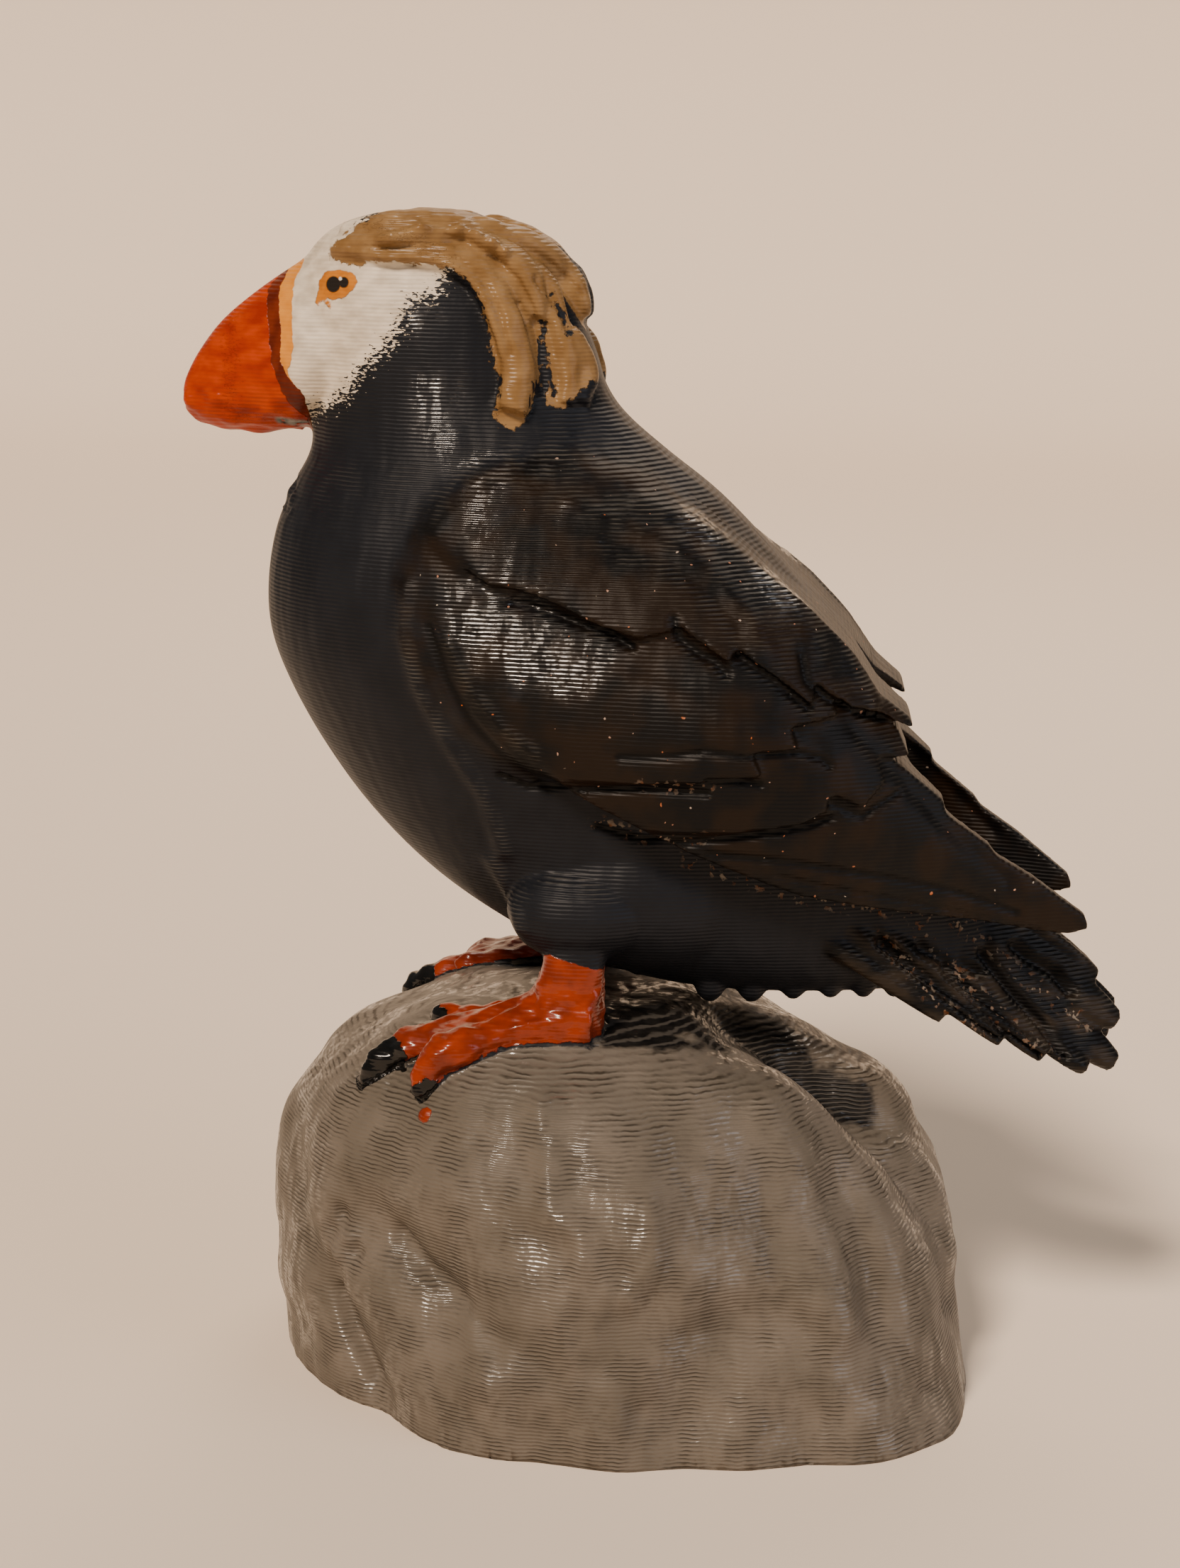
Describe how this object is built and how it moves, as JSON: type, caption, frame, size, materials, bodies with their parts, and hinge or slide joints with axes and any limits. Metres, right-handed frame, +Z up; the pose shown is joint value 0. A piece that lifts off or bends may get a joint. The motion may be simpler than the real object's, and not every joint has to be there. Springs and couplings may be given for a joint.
{
  "type": "puffin sculpture",
  "caption": "Small painted tufted-puffin ornament standing on a lumpy grey boulder, one solid piece that rests on its flat underside.",
  "frame": {"origin": "centre of the boulder's flat underside, on the surface it stands on", "axes": "+Z up; the bird faces -X and its tail points to +X; +Y is the side away from the picture's camera"},
  "size_m": [0.0875, 0.0601, 0.1072],
  "materials": {
    "painted_print": "printed plastic with fine layer lines, hand painted in satin charcoal, brown, white, orange, tan and grey, with patches of gloss varnish"
  },
  "bodies": {
    "root": {"puffin_on_boulder": "painted_print"}
  },
  "joints": []
}
